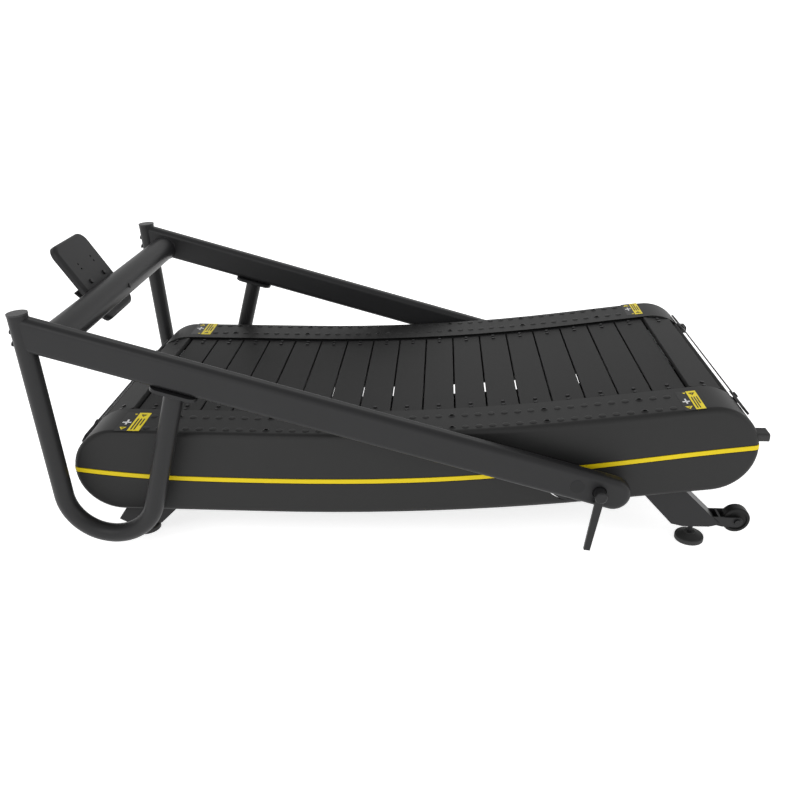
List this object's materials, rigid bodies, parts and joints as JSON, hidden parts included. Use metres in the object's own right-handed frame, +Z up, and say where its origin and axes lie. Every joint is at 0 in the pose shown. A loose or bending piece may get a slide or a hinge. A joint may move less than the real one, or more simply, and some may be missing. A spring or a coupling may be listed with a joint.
{
  "type": "curved manual treadmill",
  "caption": "Self-powered running machine with a curved deck of slats on endless belts, side covers, levelling feet, transport wheels and a folding upright frame with handrail loops",
  "frame": {"origin": "on the floor, in the middle of the machine's length and width with the upright frame folded down", "axes": "+X towards the front of the machine, +Y towards its left-hand side, +Z up"},
  "size_m": [1.7629, 0.96, 0.6719],
  "materials": {
    "frame_paint": "satin powder coat, near-black charcoal",
    "bare_steel": "ground steel",
    "zinc": "zinc-plated",
    "black_fastener": "black oxide",
    "cover_plastic": "fine-grained matt charcoal plastic",
    "slat_rubber": "matt ribbed rubber-faced slat",
    "belt_rubber": "black rubber",
    "foot_rubber": "black moulded rubber",
    "wheel_tyre": "black solid tyre",
    "stripe_yellow": "yellow inlay strip",
    "console_plastic": "matt charcoal plastic",
    "cap_plastic": "matt charcoal plastic"
  },
  "bodies": {
    "base": {"axle_bearing_blocks": "zinc", "bearing_bolts": "zinc", "belts": "belt_rubber", "cover_brackets": "frame_paint", "cover_left": "cover_plastic", "cover_right": "cover_plastic", "cover_screws": "black_fastener", "cross_members": "frame_paint", "front_bumpers": "foot_rubber", "front_guard": "frame_paint", "front_leg_left": "frame_paint", "front_leg_right": "frame_paint", "guard_brackets": "frame_paint", "guard_screws": "black_fastener", "pivot_bracket_left": "frame_paint", "pivot_bracket_right": "frame_paint", "pivot_pin_left": "black_fastener", "pivot_pin_right": "black_fastener", "rear_guard": "frame_paint", "rear_leg_left": "frame_paint", "rear_leg_right": "frame_paint", "side_plate_left": "frame_paint", "side_plate_right": "frame_paint", "side_rail_left": "frame_paint", "side_rail_right": "frame_paint", "slat_bolts": "black_fastener", "slats": "slat_rubber", "stripe_left": "stripe_yellow", "stripe_right": "stripe_yellow", "support_bearings": "bare_steel", "wheel_bolts": "black_fastener", "wheel_forks": "frame_paint"},
    "front_roller": {"front_axle": "bare_steel", "front_pulleys": "bare_steel"},
    "rear_roller": {"rear_axle": "bare_steel", "rear_pulleys": "bare_steel"},
    "wheel_left": {"transport_wheel_left": "wheel_tyre"},
    "wheel_right": {"transport_wheel_right": "wheel_tyre"},
    "lever_left": {"clamp_lever_left": "frame_paint"},
    "lever_right": {"clamp_lever_right": "frame_paint"},
    "uprights": {"arm_left": "frame_paint", "arm_right": "frame_paint", "handrail_loop_left": "frame_paint", "handrail_loop_right": "frame_paint", "post_caps": "cap_plastic", "loop_flanges": "frame_paint", "flange_bolts": "black_fastener", "post_bolts": "black_fastener", "crossbar": "frame_paint", "console_plate": "console_plastic", "console_screws": "black_fastener", "clamp_bolts": "zinc"},
    "front_foot_left": {"front_foot_pad_left": "foot_rubber", "front_foot_stud_left": "black_fastener"},
    "front_foot_right": {"front_foot_pad_right": "foot_rubber", "front_foot_stud_right": "black_fastener"},
    "rear_foot_left": {"rear_foot_pad_left": "foot_rubber", "rear_foot_stud_left": "black_fastener"},
    "rear_foot_right": {"rear_foot_pad_right": "foot_rubber", "rear_foot_stud_right": "black_fastener"}
  },
  "joints": [
    {"name": "front_roller_spin", "type": "hinge", "parent": "base", "child": "front_roller", "pos_m": [0.7424, 0, 0.2808], "axis": [0, 1, 0], "continuous": true},
    {"name": "rear_roller_spin", "type": "hinge", "parent": "base", "child": "rear_roller", "pos_m": [-0.663, 0, 0.19973], "axis": [0, 1, 0], "continuous": true},
    {"name": "uprights_fold", "type": "hinge", "parent": "base", "child": "uprights", "pos_m": [0.4304, 0, 0.218], "axis": [0, 1, 0], "range_deg": [0, 82]},
    {"name": "wheel_spin_left", "type": "hinge", "parent": "base", "child": "wheel_left", "pos_m": [0.8479, 0.323, 0.062], "axis": [0, 1, 0], "continuous": true},
    {"name": "wheel_spin_right", "type": "hinge", "parent": "base", "child": "wheel_right", "pos_m": [0.8479, -0.323, 0.062], "axis": [0, 1, 0], "continuous": true},
    {"name": "lever_turn_left", "type": "hinge", "parent": "uprights", "child": "lever_left", "pos_m": [0.48183, 0.467, 0.20325], "axis": [0, 1, 0], "range_deg": [-60, 60]},
    {"name": "lever_turn_right", "type": "hinge", "parent": "uprights", "child": "lever_right", "pos_m": [0.48183, -0.467, 0.20325], "axis": [0, 1, 0], "range_deg": [-60, 60]},
    {"name": "front_foot_left_height", "type": "slide", "parent": "base", "child": "front_foot_left", "axis": [0, 0, -1], "range_m": [0, 0.012]},
    {"name": "front_foot_right_height", "type": "slide", "parent": "base", "child": "front_foot_right", "axis": [0, 0, -1], "range_m": [0, 0.012]},
    {"name": "rear_foot_left_height", "type": "slide", "parent": "base", "child": "rear_foot_left", "axis": [0, 0, -1], "range_m": [0, 0.012]},
    {"name": "rear_foot_right_height", "type": "slide", "parent": "base", "child": "rear_foot_right", "axis": [0, 0, -1], "range_m": [0, 0.012]}
  ],
  "couplings": [
    {"joint": "rear_roller_spin", "follows": "front_roller_spin", "ratio": 1}
  ]
}
